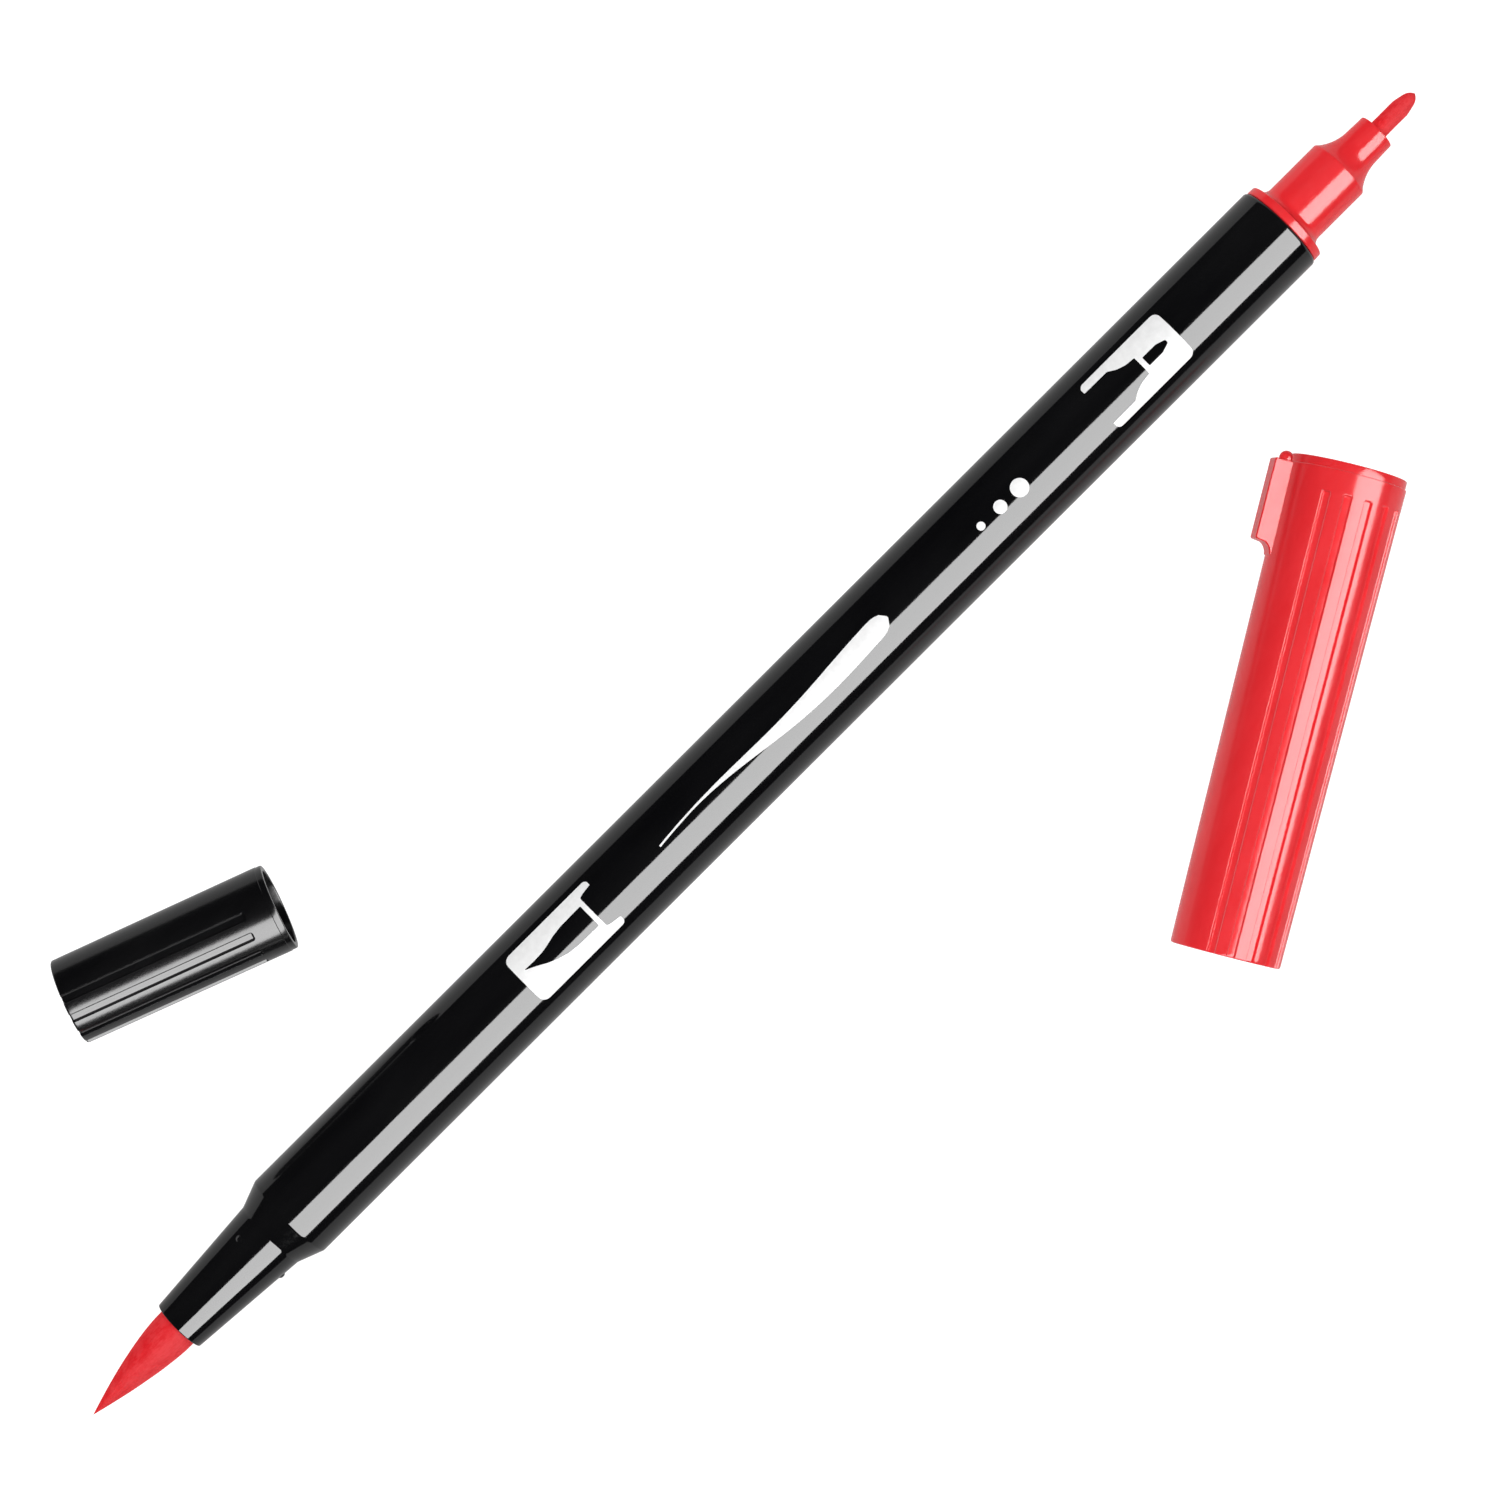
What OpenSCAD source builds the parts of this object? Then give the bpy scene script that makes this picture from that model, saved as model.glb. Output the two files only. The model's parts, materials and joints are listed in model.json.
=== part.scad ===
// Twin-tip brush pen lying on a flat surface beside its two caps.
// +X runs along the pen from the brush to the fine nib, +Z is up, and the origin is on the pen's
// axis at the middle of its barrel.

/* [Barrel] */
// Length of the full-width barrel
barrel_length = 140; // [110:1:160]
// Outer diameter of the barrel
barrel_d = 9.8; // [9.6:0.1:9.8]
// Wall thickness of the barrel
barrel_wall = 0.8; // [0.7:0.05:0.9]
// Rounding of the barrel's edge at the fine end
barrel_edge = 0.6; // [0.2:0.1:0.7]
// Length of the cone between the barrel and the brush neck
shoulder_length = 2.6; // [2:0.1:4]
// Length of the brush neck
neck_length = 12.9; // [10:0.1:16]
// Diameter of the neck next to the shoulder
neck_root_d = 7.75; // [7.55:0.05:7.8]
// Diameter of the neck at its mouth
neck_mouth_d = 5.8; // [5.6:0.1:5.9]

/* [Brush] */
// Diameter of the brush where it leaves the neck
brush_d = 4.5; // [4.1:0.1:4.5]
// Length of brush that stands out of the neck
brush_length = 12.4; // [10:0.1:16]
// Diameter of the brush's shank inside the neck
shank_d = 3.8; // [3:0.1:3.8]

/* [Fine end] */
// Diameter of the cap seat on the nose
nose_d = 6.8; // [6.4:0.1:6.8]
// Diameter of the flange that closes the barrel
flange_d = 9.5; // [8.9:0.1:9.6]
// Diameter of the nose where the nib leaves it
nose_tip_d = 4.05; // [3.6:0.05:4.2]
// Diameter of the fine nib
nib_d = 2; // [1.4:0.1:2.1]
// Length of nib that stands out of the nose
nib_length = 5.4; // [3:0.1:6]

/* [Long cap] */
// Length of the long cap
long_cap_length = 50.2; // [47:0.1:56]
// Outer diameter of the long cap at its mouth
long_cap_mouth_d = 12.15; // [11.95:0.05:12.6]
// Outer diameter of the long cap at its closed end
long_cap_end_d = 11.25; // [11.1:0.05:11.7]
// Bore of the long cap, which slides over the barrel
long_cap_bore_d = 10.2; // [10.1:0.05:10.2]
// Number of grooves along the long cap
long_cap_grooves = 12; // [2:2:12]
// How far the stop tab stands out from the long cap
tab_height = 1.7; // [1:0.1:2.2]
// Length of the stop tab
tab_length = 8.3; // [6:0.1:10]

/* [Short cap] */
// Length of the short cap
short_cap_length = 23.1; // [22:0.1:28]
// Outer diameter of the short cap at its mouth
short_cap_mouth_d = 9.15; // [9.15:0.05:9.4]
// Outer diameter of the short cap at its closed end
short_cap_end_d = 9; // [8.9:0.05:9.15]
// Bore of the short cap's liner, which slides over the nose
short_cap_bore_d = 7.04; // [7:0.02:7.1]
// Number of grooves along the short cap
short_cap_grooves = 8; // [2:1:8]

/* [Hidden] */
$fn = 96;
black = [0.02, 0.02, 0.022];
red = [0.92, 0.16, 0.19];
dark_red = [0.86, 0.13, 0.16];
pale = [0.93, 0.9, 0.88];

// Stations along the pen
barrel_r = barrel_d / 2;
bore_r = barrel_r - barrel_wall;
x_fine = barrel_length / 2;
x_brush = -x_fine;
x_neck = x_brush - shoulder_length;
x_mouth = x_neck - neck_length;
x_brush_point = x_mouth - brush_length;
floor_z = -barrel_r;

// Brush: the tip bends about a pivot just outside the neck, and its back is a ball about that pivot
brush_r = brush_d / 2;
pivot_gap = 0.6;
x_pivot = x_mouth - pivot_gap;
seat_r = brush_r + 0.15;
brush_straight = 1;
brush_taper_power = 1.5;
neck_bore_r = brush_r + 0.1;
neck_bore_length = 2.4;
x_step = x_mouth + neck_bore_length;
neck_bore_root_r = 3;
neck_rim = 0.1;
neck_blend = 0.5;
neck_blend_rise = 0.06;
shoulder_blend_rise = 0.22;
shoulder_bore_step = 0.3;

// Snap bumps that hold the long cap
bump_root_r = 0.4;
bump_top_r = 0.25;
bump_x = x_neck - 2.1;
bump_top = neck_root_d / 2 - 0.02;
bump_count = 3;

// Ink store
reservoir_r = 3.6;
sleeve_wall = 0.12;
x_reservoir_back = x_brush + 6;
x_reservoir_front = x_fine - 11;
x_shank_back = x_reservoir_back + 14;
socket_gap = 0.2;

// Fine end
flange_lip = 0.9;
flange_fillet = 1.1;
x_seat = x_fine + flange_lip + flange_fillet;
seat_length = 6;
x_flare = x_seat + seat_length;
x_nose_tip = x_fine + 13.6;
flare_r = 4.9;
flare_edge = 0.25;
flare_throat_x = x_nose_tip - 2.1;
flare_throat_r = nose_tip_d / 2 + 0.06;
plug_length = 10;
chamber_r = 2.4;
x_nib_point = x_nose_tip + nib_length;
nib_bullet_length = 2.1;
nib_point_r = 0.35;
x_nib_back = x_reservoir_front - 6;

// Caps: each lies on its side with its closed end at the place given, turned about +Z and rolled
// about its own axis
cap_wall_end = 1.2;
groove_w = 0.82;
groove_depth = 0.3;
groove_start = 3.2;
cap_end_edge = 0.25;
long_cap_at = [14.62, -47.53];
long_cap_turn = 30.8;
long_cap_roll = 8;
long_cap_pitch = 20.8;
long_cap_groove_shift = -4.5;
long_cap_seat_depth = 15;
long_cap_lip = 0.9;
long_cap_lip_step = 0.13;
long_inner_wall = 0.7;
long_inner_bore_r = 4.1;
short_cap_at = [-70.48, 30.69];
short_cap_turn = -20.4;
short_cap_roll = 0;
short_cap_pitch = 27.3;
short_cap_lip = 0.6;
short_cap_lip_step = 0.05;
short_liner_wall = 0.36;
short_liner_recess = 0.8;
tab_w = 2.4;
tab_runout = 1.3;
tab_set_back = 0.9;
tab_root = 0.5;
tab_fillet_rise = 0.4;
tab_edge = 0.25;
nub_r = 0.75;
nub_set_back = 0.65;
nub_rise = 0.375;

// Points of an arc about [cx, cy], from angle a0 to angle a1, with the ends included
function arc(cx, cy, r, a0, a1, steps = 8) =
    [for (i = [0:steps]) let (a = a0 + (a1 - a0) * i / steps) [cx + r * cos(a), cy + r * sin(a)]];

// Radius of the brush at distance s from the neck's mouth
function brush_radius(s) =
    brush_r * (1 - pow(max(0, s - brush_straight) / (brush_length - brush_straight), brush_taper_power));

// Radius of the inside of the neck at x
function neck_inside(x) =
    neck_bore_r + (neck_bore_root_r - neck_bore_r) * (x - x_step) / (x_neck - x_step);

// Turns an outline of [x, radius] points about the X axis
module turned(points) {
    rotate([0, 90, 0])
        rotate_extrude()
            polygon([for (p = points) [p[1], p[0]]]);
}

// Moulded barrel with its shoulder and brush neck
module barrel() {
    neck_mouth_r = neck_mouth_d / 2;
    neck_root_r = neck_root_d / 2;
    outside = concat(
        [[x_mouth, neck_bore_r], [x_mouth, neck_mouth_r - neck_rim], [x_mouth + neck_rim, neck_mouth_r]],
        [[x_neck - neck_blend, neck_root_r], [x_neck, neck_root_r + neck_blend_rise]],
        [[x_neck + neck_blend, neck_root_r + shoulder_blend_rise], [x_brush, barrel_r]],
        arc(x_fine - barrel_edge, barrel_r - barrel_edge, barrel_edge, 90, 0, 6),
        [[x_fine, bore_r]]
    );
    inside = [
        [x_reservoir_back - 2, bore_r], [x_brush + neck_blend, neck_bore_root_r + shoulder_bore_step],
        [x_neck, neck_bore_root_r], [x_step, neck_bore_r]
    ];
    bump_depth = 0.5;
    color(black) {
        turned(concat(outside, inside));
        for (i = [0:bump_count - 1])
            rotate([90 + i * 360 / bump_count, 0, 0])
                translate([bump_x, 0, bump_top - bump_depth])
                    cylinder(h = bump_depth, r1 = bump_root_r, r2 = bump_top_r, $fn = 32);
    }
}

// Free part of the brush, which flexes
module brush_tip() {
    steps = 16;
    front = [
        for (i = [0:steps])
            let (s = pivot_gap + (brush_length - pivot_gap) * i / steps)
                [x_mouth - s, i == steps ? 0 : brush_radius(s)]
    ];
    color(dark_red)
        turned(concat(front, arc(x_pivot, 0, brush_r, 0, 90 - 1, 8)));
}

// Fixed part of the brush, held in the neck and dipped into the ink store
module brush_shank() {
    shank_r = shank_d / 2;
    seat_angle = asin(shank_r / seat_r);
    point_length = 2;
    color(dark_red)
        turned(concat(
            arc(x_pivot, 0, seat_r, 0, seat_angle, 8),
            [[x_shank_back - point_length, shank_r], [x_shank_back, shank_r / 2], [x_shank_back, 0]]
        ));
}

// Bush that grips the shank inside the neck, with air channels along it
module nib_holder() {
    clearance = 0.02;
    channel_w = 0.6;
    channels = 4;
    channel_floor = 0.2;
    x_back = x_neck - 0.2;
    x_front = x_step + 0.4;
    front_r = neck_inside(x_front) - clearance;
    back_r = neck_inside(x_back) - clearance;
    color(pale)
        difference() {
            turned([[x_front, shank_d / 2], [x_front, front_r], [x_back, back_r], [x_back, shank_d / 2]]);
            for (i = [0:channels - 1])
                rotate([i * 360 / channels, 0, 0])
                    translate([x_front - 1, -channel_w / 2, shank_d / 2 + channel_floor])
                        cube([x_back - x_front + 2, channel_w, 2]);
        }
}

// Bundle of fibres that stores the ink, with a socket at each end for a nib
module ink_reservoir() {
    x_shank_socket = x_shank_back + socket_gap;
    x_nib_socket = x_nib_back - socket_gap;
    color(red)
        turned([
            [x_shank_socket, 0], [x_shank_socket, shank_d / 2], [x_reservoir_back, shank_d / 2],
            [x_reservoir_back, reservoir_r], [x_reservoir_front, reservoir_r],
            [x_reservoir_front, nib_d / 2], [x_nib_socket, nib_d / 2], [x_nib_socket, 0]
        ]);
}

// Plastic film round the fibre bundle
module reservoir_sleeve() {
    outer_r = reservoir_r + sleeve_wall;
    color(pale)
        turned([
            [x_reservoir_back, reservoir_r], [x_reservoir_back, outer_r],
            [x_reservoir_front, outer_r], [x_reservoir_front, reservoir_r]
        ]);
}

// Plug, flange, cap seat and flared nose of the fine end
module fine_nose() {
    nose_r = nose_d / 2;
    tip_r = nose_tip_d / 2;
    lip_r = flange_d / 2;
    lip_edge = 0.12;
    lip_draft = 0.05;
    throat_centre_r = flare_throat_r + flare_r;
    flare_top_r = nose_r - flare_edge;
    flare_angle = asin((throat_centre_r - flare_top_r) / flare_r);
    x_flare_top = flare_throat_x - flare_r * cos(flare_angle);
    edge_start = 0.3;
    edge_middle = [0.08, 0.07];
    tip_edge = [0.15, 0.12];
    nib_grip_x = x_flare + 2.2;
    chamber_cone = 2.6;
    color(red)
        turned(concat(
            [[x_fine - plug_length, chamber_r], [x_fine - plug_length, bore_r], [x_fine, bore_r]],
            [[x_fine, lip_r - lip_edge], [x_fine + lip_edge, lip_r], [x_fine + flange_lip, lip_r - lip_draft]],
            arc(x_seat, nose_r + flange_fillet, flange_fillet, 180, 270, 6),
            [[x_flare_top - edge_start, nose_r], [x_flare_top - edge_middle[0], nose_r - edge_middle[1]]],
            arc(flare_throat_x, throat_centre_r, flare_r, 180 + flare_angle, 270, 10),
            [[x_nose_tip - tip_edge[0], tip_r], [x_nose_tip, tip_r - tip_edge[1]], [x_nose_tip, nib_d / 2]],
            [[nib_grip_x, nib_d / 2], [nib_grip_x - chamber_cone, chamber_r]]
        ));
}

// Porous rod that is the fine nib
module fine_nib() {
    nib_r = nib_d / 2;
    lead_in = [0.6, 0.2];
    shoulder = [0.3, 0.09];
    x_bullet = x_nib_point - nib_bullet_length;
    color(dark_red)
        turned(concat(
            [[x_nib_back, 0], [x_nib_back, nib_r - lead_in[1]], [x_nib_back + lead_in[0], nib_r]],
            [[x_bullet, nib_r], [x_bullet + shoulder[0], nib_r - shoulder[1]]],
            arc(x_nib_point - nib_point_r, 0, nib_point_r, 60, 0, 5)
        ));
}

// Places a cap that is drawn with its closed end at the origin and its mouth towards +X
module lying(at, turn, roll, mouth_d) {
    translate([at[0], at[1], floor_z + mouth_d / 2])
        rotate([0, 0, turn])
            rotate([roll, 0, 0])
                children();
}

// Grooves that follow the cap's taper and run out through its closed end. Their middle faces -Y,
// turned by shift degrees.
module grooves(count, pitch, length, end_d, mouth_d, shift = 0) {
    slope = atan((mouth_d - end_d) / 2 / length);
    deep = 2;
    for (i = [0:count - 1])
        rotate([90 + shift + (i - (count - 1) / 2) * pitch, 0, 0])
            translate([0, -groove_w / 2, end_d / 2 - groove_depth])
                rotate([0, -slope, 0])
                    translate([-1, 0, 0])
                        cube([length - groove_start + 1, groove_w, deep]);
}

// Tapered cap body before it is grooved; lip is the narrower ring at its mouth
module cap_body(length, end_d, mouth_d, hollow, lip, lip_step) {
    end_r = end_d / 2;
    mouth_r = mouth_d / 2;
    mouth_edge = 0.12;
    turned(concat(
        [[0, 0], [0, end_r - cap_end_edge], [cap_end_edge, end_r]],
        [[length - lip, mouth_r], [length - lip, mouth_r - lip_step]],
        [[length - mouth_edge, mouth_r - lip_step], [length, mouth_r - lip_step - mouth_edge]],
        hollow
    ));
}

// Stop tab with its curved run-out, and the round nub on its front
module stop_tab() {
    mouth_r = long_cap_mouth_d / 2;
    root_r = mouth_r - tab_root;
    top_r = mouth_r + tab_height;
    front_x = long_cap_length - tab_set_back;
    back_x = front_x - tab_length;
    arc_x = back_x - tab_runout;
    translate([0, 0, -tab_w / 2])
        linear_extrude(tab_w)
            polygon(concat(
                [[arc_x, root_r]],
                arc(arc_x, root_r + tab_fillet_rise + tab_runout, tab_runout, 270, 335, 6),
                [[back_x, top_r - tab_edge], [back_x + tab_edge, top_r]],
                [[front_x - tab_edge, top_r], [front_x, top_r - tab_edge], [front_x, root_r]]
            ));
    translate([long_cap_length - nub_set_back, mouth_r + nub_rise, 0])
        sphere(r = nub_r, $fn = 24);
}

// Long cap: grooved shell that slides over the barrel, with its stop tab
module long_cap_shell() {
    length = long_cap_length;
    bore = long_cap_bore_d / 2;
    inner_r = long_inner_bore_r + long_inner_wall;
    ledge_x = length - long_cap_seat_depth;
    hollow = [[length, bore], [ledge_x, bore], [ledge_x, inner_r], [cap_wall_end, inner_r], [cap_wall_end, 0]];
    color(red)
        lying(long_cap_at, long_cap_turn, long_cap_roll, long_cap_mouth_d) {
            difference() {
                cap_body(length, long_cap_end_d, long_cap_mouth_d, hollow, long_cap_lip, long_cap_lip_step);
                grooves(
                    long_cap_grooves, long_cap_pitch, length, long_cap_end_d, long_cap_mouth_d,
                    long_cap_groove_shift
                );
            }
            stop_tab();
        }
}

// Cup inside the long cap that seals round the brush neck
module long_cap_inner() {
    outer_r = long_inner_bore_r + long_inner_wall;
    back_wall = 0.8;
    x_back = cap_wall_end;
    x_front = long_cap_length - long_cap_seat_depth;
    color(red)
        lying(long_cap_at, long_cap_turn, long_cap_roll, long_cap_mouth_d)
            turned([
                [x_back, 0], [x_back, outer_r], [x_front, outer_r],
                [x_front, long_inner_bore_r], [x_back + back_wall, long_inner_bore_r], [x_back + back_wall, 0]
            ]);
}

// Short cap: grooved shell
module short_cap_shell() {
    length = short_cap_length;
    liner_r = short_cap_bore_d / 2 + short_liner_wall;
    hollow = [[length, liner_r], [cap_wall_end, liner_r], [cap_wall_end, 0]];
    color(black)
        lying(short_cap_at, short_cap_turn, short_cap_roll, short_cap_mouth_d)
            difference() {
                cap_body(length, short_cap_end_d, short_cap_mouth_d, hollow, short_cap_lip, short_cap_lip_step);
                grooves(short_cap_grooves, short_cap_pitch, length, short_cap_end_d, short_cap_mouth_d);
            }
}

// Liner of the short cap, which grips the nose and seals the fine nib
module short_cap_inner() {
    bore = short_cap_bore_d / 2;
    back_wall = 0.6;
    x_back = cap_wall_end;
    x_front = short_cap_length - short_liner_recess;
    color(black)
        lying(short_cap_at, short_cap_turn, short_cap_roll, short_cap_mouth_d)
            turned([
                [x_back, 0], [x_back, bore + short_liner_wall], [x_front, bore + short_liner_wall],
                [x_front, bore], [x_back + back_wall, bore], [x_back + back_wall, 0]
            ]);
}

barrel();
brush_tip();
brush_shank();
nib_holder();
ink_reservoir();
reservoir_sleeve();
fine_nose();
fine_nib();
long_cap_shell();
long_cap_inner();
short_cap_shell();
short_cap_inner();
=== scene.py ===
"""Looks of the twin-tip brush pen: turned plastic and fibre pieces, grooved caps and printed marks
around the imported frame. Lengths in the helpers below are in millimetres, and MM turns them to metres."""

import json
import math

import bmesh
import bpy
from mathutils import Matrix, Vector, geometry, noise


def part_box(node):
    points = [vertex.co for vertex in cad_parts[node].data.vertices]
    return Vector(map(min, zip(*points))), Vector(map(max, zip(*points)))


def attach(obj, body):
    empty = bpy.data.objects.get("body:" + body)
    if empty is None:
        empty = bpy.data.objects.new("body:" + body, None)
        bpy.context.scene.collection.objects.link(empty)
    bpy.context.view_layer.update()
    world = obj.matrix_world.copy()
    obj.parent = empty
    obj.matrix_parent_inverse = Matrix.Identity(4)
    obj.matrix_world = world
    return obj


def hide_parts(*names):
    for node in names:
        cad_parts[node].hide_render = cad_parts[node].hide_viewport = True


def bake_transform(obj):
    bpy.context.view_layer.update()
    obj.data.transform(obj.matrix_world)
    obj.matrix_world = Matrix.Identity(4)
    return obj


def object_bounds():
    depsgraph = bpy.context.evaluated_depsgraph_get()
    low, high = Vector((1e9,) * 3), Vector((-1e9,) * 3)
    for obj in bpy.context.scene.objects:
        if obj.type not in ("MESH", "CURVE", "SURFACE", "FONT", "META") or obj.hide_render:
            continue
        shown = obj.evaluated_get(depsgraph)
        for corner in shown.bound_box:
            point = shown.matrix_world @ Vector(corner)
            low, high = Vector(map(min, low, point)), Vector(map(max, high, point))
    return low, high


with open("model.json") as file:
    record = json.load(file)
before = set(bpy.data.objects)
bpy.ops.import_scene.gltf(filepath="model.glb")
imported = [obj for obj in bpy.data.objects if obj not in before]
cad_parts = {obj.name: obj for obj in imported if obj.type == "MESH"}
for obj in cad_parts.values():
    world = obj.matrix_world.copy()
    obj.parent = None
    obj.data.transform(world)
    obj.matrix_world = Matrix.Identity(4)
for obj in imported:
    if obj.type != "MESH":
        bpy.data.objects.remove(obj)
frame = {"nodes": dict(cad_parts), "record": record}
CAD_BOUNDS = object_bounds()

MM = 0.001
ROUND = 192  # sides of a full turn
MOUNTS = {m["name"]: m for m in frame["record"]["mounts"]}

# Stations along the pen and its radii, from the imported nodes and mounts
X_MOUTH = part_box("barrel")[0][0] / MM
X_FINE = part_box("barrel")[1][0] / MM
X_BRUSH_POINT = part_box("brush_tip")[0][0] / MM
X_NIB_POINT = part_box("fine_nib")[1][0] / MM
X_NIB_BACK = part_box("fine_nib")[0][0] / MM
X_BRUSH = -X_FINE
BARREL_R = MOUNTS["barrel_grip"]["dims"]["r_mm"]
NOSE_R = MOUNTS["fine_cap_seat"]["dims"]["r_mm"]
FLOOR_Z = CAD_BOUNDS[0][2]

# Sizes that more than one piece shares
BARREL_BORE = BARREL_R - 0.8
NIB_R = 1.0
CAP_END_WALL = 1.2
GROOVE_WIDTH = 0.82
GROOVE_DEPTH = 0.3
GROOVE_START = 3.2  # from the mouth
CAP_SHARP = 32  # degrees; edges sharper than this aren't smoothed


# ---------------------------------------------------------------- outlines

def arc(cx, cy, r, a0, a1, steps):
    """Points of an arc about (cx, cy), from a0 to a1 degrees, with both ends."""
    angles = [math.radians(a0 + (a1 - a0) * i / steps) for i in range(steps + 1)]
    return [(cx + r * math.cos(a), cy + r * math.sin(a)) for a in angles]


def softened(corners, closed=True, step=12.0):
    """An outline from (x, y, radius) corners, with an arc of that radius at each one."""
    points = []
    n = len(corners)
    for i, (x, y, radius) in enumerate(corners):
        if radius <= 0 or (not closed and i in (0, n - 1)):
            points.append((x, y))
            continue
        p = Vector((x, y))
        before = Vector(corners[i - 1][:2]) - p
        after = Vector(corners[(i + 1) % n][:2]) - p
        u, v = before.normalized(), after.normalized()
        half = u.angle(v) / 2
        reach = min(radius / math.tan(half), 0.48 * before.length, 0.48 * after.length)
        r = reach * math.tan(half)
        centre = p + (u + v).normalized() * (r / math.sin(half))
        first, last = p + u * reach - centre, p + v * reach - centre
        sweep = first.angle_signed(last)
        steps = max(2, math.ceil(abs(math.degrees(sweep)) / step))
        for k in range(steps + 1):
            a = -sweep * k / steps
            points.append((
                centre.x + first.x * math.cos(a) - first.y * math.sin(a),
                centre.y + first.x * math.sin(a) + first.y * math.cos(a),
            ))
    return points


def smoothstep(t):
    """0 below 0, 1 above 1 and a smooth S between."""
    t = min(1.0, max(0.0, t))
    return t * t * (3 - 2 * t)


# ---------------------------------------------------------------- meshes

def piece_from(name, verts, faces, material, sharp=28.0):
    """A mesh object in metres from millimetre vertices, smooth except across sharp edges."""
    mesh = bpy.data.meshes.new(name)
    mesh.from_pydata([Vector(v) * MM for v in verts], [], faces)
    bm = bmesh.new()
    bm.from_mesh(mesh)
    bmesh.ops.recalc_face_normals(bm, faces=bm.faces)
    bm.to_mesh(mesh)
    bm.free()
    mesh.shade_smooth()
    mesh.set_sharp_from_angle(angle=math.radians(sharp))
    obj = bpy.data.objects.new(name, mesh)
    bpy.context.scene.collection.objects.link(obj)
    mesh.materials.append(material)
    return obj


def revolved(outline, angles, place, radius=None):
    """Vertices and faces of a closed (x, r) outline turned about X.
    angles are in degrees from +Z towards -Y. radius(x, r, angle) may change each radius."""
    verts, rings = [], []
    for x, r in outline:
        if r < 1e-6:
            rings.append([len(verts)])
            verts.append(place @ Vector((x, 0, 0)))
            continue
        ring = []
        for a in angles:
            rr = radius(x, r, a) if radius else r
            t = math.radians(a)
            ring.append(len(verts))
            verts.append(place @ Vector((x, -rr * math.sin(t), rr * math.cos(t))))
        rings.append(ring)
    faces = []
    n = len(angles)
    pairs = list(zip(rings, rings[1:]))
    if len(rings[0]) > 1 and len(rings[-1]) > 1:
        pairs.append((rings[-1], rings[0]))
    for one, two in pairs:
        for k in range(n):
            j = (k + 1) % n
            if len(one) == 1 and len(two) == 1:
                break
            if len(one) == 1:
                faces.append((one[0], two[j], two[k]))
            elif len(two) == 1:
                faces.append((one[k], one[j], two[0]))
            else:
                faces.append((one[k], one[j], two[j], two[k]))
    return verts, faces


def even_angles(count=ROUND):
    """Angles of a full turn in degrees, evenly spaced."""
    return [360.0 * i / count for i in range(count)]


def turned(name, outline, material, place=Matrix.Identity(4), sharp=28.0):
    """A piece turned about the X axis of place."""
    verts, faces = revolved(outline, even_angles(), place)
    return piece_from(name, verts, faces, material, sharp)


def applied(obj):
    """Applies every modifier of obj to its mesh."""
    bpy.context.view_layer.update()
    graph = bpy.context.evaluated_depsgraph_get()
    mesh = bpy.data.meshes.new_from_object(obj.evaluated_get(graph))
    obj.modifiers.clear()
    obj.data = mesh
    return obj


def joined_solid(obj, other):
    """obj and other as one closed surface; other is removed."""
    cut = obj.modifiers.new("union", "BOOLEAN")
    cut.operation = "UNION"
    cut.solver = "EXACT"
    cut.object = other
    applied(obj)
    bpy.data.objects.remove(other)
    return obj


# ---------------------------------------------------------------- materials

def nodes_of(name):
    """A new material with its node tree and its shader."""
    material = bpy.data.materials.new(name)
    material.use_nodes = True
    tree = material.node_tree
    return material, tree, tree.nodes["Principled BSDF"]


def coordinates(tree, scale):
    """Object coordinates in millimetres times scale."""
    where = tree.nodes.new("ShaderNodeTexCoord")
    mapping = tree.nodes.new("ShaderNodeMapping")
    mapping.inputs["Scale"].default_value = [s / MM for s in scale]
    tree.links.new(where.outputs["Object"], mapping.inputs["Vector"])
    return mapping.outputs["Vector"]


def noise_of(tree, scale, detail=4.0, rough=0.55):
    """Noise with that many lumps per millimetre along X, Y and Z."""
    texture = tree.nodes.new("ShaderNodeTexNoise")
    texture.inputs["Scale"].default_value = 1.0
    texture.inputs["Detail"].default_value = detail
    texture.inputs["Roughness"].default_value = rough
    tree.links.new(coordinates(tree, scale), texture.inputs["Vector"])
    return texture.outputs["Fac"]


def ramp(tree, value, stops):
    """A colour ramp with (position, colour) stops."""
    node = tree.nodes.new("ShaderNodeValToRGB")
    elements = node.color_ramp.elements
    for element, (position, colour) in zip(elements, stops):
        element.position = position
        element.color = (*colour, 1)
    for position, colour in stops[2:]:
        elements.new(position).color = (*colour, 1)
    tree.links.new(value, node.inputs["Fac"])
    return node.outputs["Color"]


def spread(tree, value, low, high, out_low, out_high):
    """value with low to high stretched over out_low to out_high."""
    node = tree.nodes.new("ShaderNodeMapRange")
    for key, number in (("From Min", low), ("From Max", high), ("To Min", out_low), ("To Max", out_high)):
        node.inputs[key].default_value = number
    tree.links.new(value, node.inputs["Value"])
    return node.outputs["Result"]


def bump(tree, shader, height, strength, distance):
    """Bends the shader's normal by a height, which is distance metres at 1."""
    node = tree.nodes.new("ShaderNodeBump")
    node.inputs["Strength"].default_value = strength
    node.inputs["Distance"].default_value = distance
    tree.links.new(height, node.inputs["Height"])
    tree.links.new(node.outputs["Normal"], shader.inputs["Normal"])


def summed(tree, a, b, weight):
    """a plus weight times b."""
    node = tree.nodes.new("ShaderNodeMath")
    node.operation = "MULTIPLY_ADD"
    tree.links.new(b, node.inputs[0])
    node.inputs[1].default_value = weight
    tree.links.new(a, node.inputs[2])
    return node.outputs["Value"]


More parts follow.
